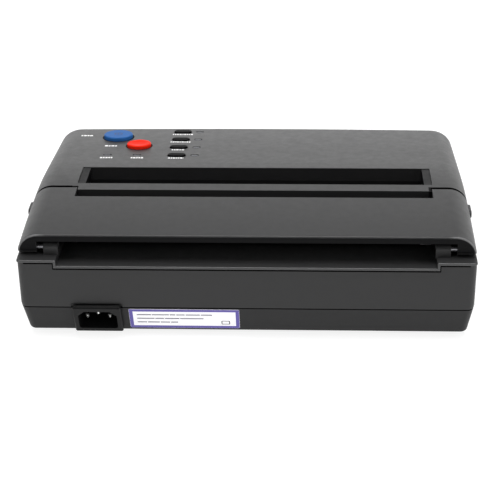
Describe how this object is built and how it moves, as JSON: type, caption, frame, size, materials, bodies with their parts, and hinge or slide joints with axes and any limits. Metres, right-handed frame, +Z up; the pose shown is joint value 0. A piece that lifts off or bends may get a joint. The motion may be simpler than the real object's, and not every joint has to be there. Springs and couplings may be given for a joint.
{
  "type": "thermal stencil copier",
  "caption": "Low desktop copier that scans a drawing in its front slot and burns a stencil sheet under a hinged rear cover.",
  "frame": {"origin": "centre of the overall footprint, at the level the feet stand on", "axes": "+Z up, +Y towards the hinge, paper exit and inlet at the back, +X to the right hand of a user who stands at the front; the mode keys, copy and stop buttons are on the +X half"},
  "size_m": [0.2822, 0.2013, 0.0738],
  "materials": {
    "casing_grey": "fine texture",
    "base_black": "fine texture",
    "chute_black": "satin",
    "foot_rubber": "matt",
    "button_blue": "satin",
    "button_red": "satin",
    "key_black": "satin",
    "release_grey": "fine texture",
    "lens_smoke": "gloss",
    "lamp_clear": "gloss",
    "inlet_black": "gloss",
    "contact_metal": "plated",
    "label_white": "satin",
    "hinge_steel": "turned",
    "shaft_steel": "turned",
    "sheet_steel": "plated sheet",
    "screw_steel": "plated",
    "spring_steel": "drawn wire",
    "motor_steel": "satin",
    "gear_plastic": "satin",
    "bushing_plastic": "satin",
    "roller_rubber": "ground",
    "sensor_plastic": "satin",
    "sensor_glass": "polished",
    "board_green": "solder resist",
    "part_black": "satin",
    "connector_cream": "satin",
    "transformer_iron": "varnished",
    "cable_white": "satin",
    "sink_aluminium": "extruded",
    "strip_ceramic": "glazed"
  },
  "bodies": {
    "chassis": {"upper_housing": "casing_grey", "lower_case": "base_black", "hinge_pins": "hinge_steel", "feed_chute": "chute_black", "indicator_lenses": "lens_smoke", "panel_board": "board_green", "tact_switches": "part_black", "panel_lamps": "lamp_clear", "left_side_frame": "sheet_steel", "right_side_frame": "sheet_steel", "rubber_feet": "foot_rubber", "case_screws": "screw_steel", "inlet_housing": "inlet_black", "inlet_blades": "contact_metal", "rating_label": "label_white", "shaft_bushings": "bushing_plastic", "drive_motor": "motor_steel", "tie_rods": "shaft_steel", "gear_studs": "shaft_steel", "frame_screws": "screw_steel", "motor_screws": "screw_steel", "scan_sensor": "sensor_plastic", "sensor_glass": "sensor_glass", "sensor_bracket": "sheet_steel", "paper_guide": "sheet_steel", "main_board": "board_green", "power_board": "board_green", "board_screws": "screw_steel", "main_board_chips": "part_black", "board_connectors": "connector_cream", "transformer": "transformer_iron", "power_capacitors": "part_black", "heat_sink": "sink_aluminium", "flat_cable": "cable_white"},
    "cover": {"rear_cover": "casing_grey", "head_bracket": "sheet_steel", "bracket_screws": "screw_steel", "release_spring_left": "spring_steel", "release_spring_right": "spring_steel", "head_springs": "spring_steel"},
    "head": {"print_head": "sink_aluminium", "heater_strip": "strip_ceramic"},
    "release_left": {"release_button_left": "release_grey"},
    "release_right": {"release_button_right": "release_grey"},
    "copy": {"copy_button": "button_blue"},
    "stop": {"stop_button": "button_red"},
    "key_1": {"mode_key_1": "key_black"},
    "key_2": {"mode_key_2": "key_black"},
    "key_3": {"mode_key_3": "key_black"},
    "key_4": {"mode_key_4": "key_black"},
    "platen": {"platen_roller": "roller_rubber", "platen_shaft": "shaft_steel", "platen_gear": "gear_plastic"},
    "scan": {"scan_roller": "roller_rubber", "scan_shaft": "shaft_steel", "scan_gear": "gear_plastic"},
    "platen_idler": {"platen_idler_gear": "gear_plastic"},
    "motor_idler": {"motor_idler_gear": "gear_plastic"},
    "pinion": {"motor_pinion": "gear_plastic", "motor_shaft": "shaft_steel"}
  },
  "joints": [
    {"name": "cover_hinge", "type": "hinge", "parent": "chassis", "child": "cover", "pos_m": [0, 0.08732, 0.0618], "axis": [-1, 0, 0], "range_deg": [0, 70]},
    {"name": "head_float", "type": "slide", "parent": "cover", "child": "head", "axis": [0, 0, 1], "range_m": [0, 0.001], "stiffness_N_per_m": 2000, "springref_m": -0.003, "deforming": ["head_springs"]},
    {"name": "release_left_press", "type": "slide", "parent": "cover", "child": "release_left", "axis": [1, 0, 0], "range_m": [0, 0.002], "stiffness_N_per_m": 600, "springref_m": -0.001, "deforming": ["release_spring_left"]},
    {"name": "release_right_press", "type": "slide", "parent": "cover", "child": "release_right", "axis": [-1, 0, 0], "range_m": [0, 0.002], "stiffness_N_per_m": 600, "springref_m": -0.001, "deforming": ["release_spring_right"]},
    {"name": "copy_press", "type": "slide", "parent": "chassis", "child": "copy", "axis": [0, 0.1219, -0.9925], "range_m": [0, 0.0008], "stiffness_N_per_m": 1500, "springref_m": -0.0004},
    {"name": "stop_press", "type": "slide", "parent": "chassis", "child": "stop", "axis": [0, 0.1219, -0.9925], "range_m": [0, 0.0008], "stiffness_N_per_m": 1500, "springref_m": -0.0004},
    {"name": "key_1_press", "type": "slide", "parent": "chassis", "child": "key_1", "axis": [0, 0.1219, -0.9925], "range_m": [0, 0.0005], "stiffness_N_per_m": 2000, "springref_m": -0.0003},
    {"name": "key_2_press", "type": "slide", "parent": "chassis", "child": "key_2", "axis": [0, 0.1219, -0.9925], "range_m": [0, 0.0005], "stiffness_N_per_m": 2000, "springref_m": -0.0003},
    {"name": "key_3_press", "type": "slide", "parent": "chassis", "child": "key_3", "axis": [0, 0.1219, -0.9925], "range_m": [0, 0.0005], "stiffness_N_per_m": 2000, "springref_m": -0.0003},
    {"name": "key_4_press", "type": "slide", "parent": "chassis", "child": "key_4", "axis": [0, 0.1219, -0.9925], "range_m": [0, 0.0005], "stiffness_N_per_m": 2000, "springref_m": -0.0003},
    {"name": "platen_spin", "type": "hinge", "parent": "chassis", "child": "platen", "pos_m": [0, 0.05482, 0.0441], "axis": [1, 0, 0], "continuous": true},
    {"name": "scan_spin", "type": "hinge", "parent": "chassis", "child": "scan", "pos_m": [0, 0.01422, 0.0441], "axis": [1, 0, 0], "continuous": true},
    {"name": "platen_idler_spin", "type": "hinge", "parent": "chassis", "child": "platen_idler", "pos_m": [0, 0.03317, 0.03063], "axis": [1, 0, 0], "continuous": true},
    {"name": "motor_idler_spin", "type": "hinge", "parent": "chassis", "child": "motor_idler", "pos_m": [0, -0.00605, 0.0299], "axis": [1, 0, 0], "continuous": true},
    {"name": "pinion_spin", "type": "hinge", "parent": "chassis", "child": "pinion", "pos_m": [0, -0.02855, 0.0299], "axis": [1, 0, 0], "continuous": true}
  ],
  "couplings": [
    {"joint": "scan_spin", "follows": "platen_spin", "ratio": 1.3333},
    {"joint": "platen_idler_spin", "follows": "platen_spin", "ratio": -0.54545},
    {"joint": "motor_idler_spin", "follows": "platen_spin", "ratio": -0.5},
    {"joint": "pinion_spin", "follows": "platen_spin", "ratio": 2}
  ]
}
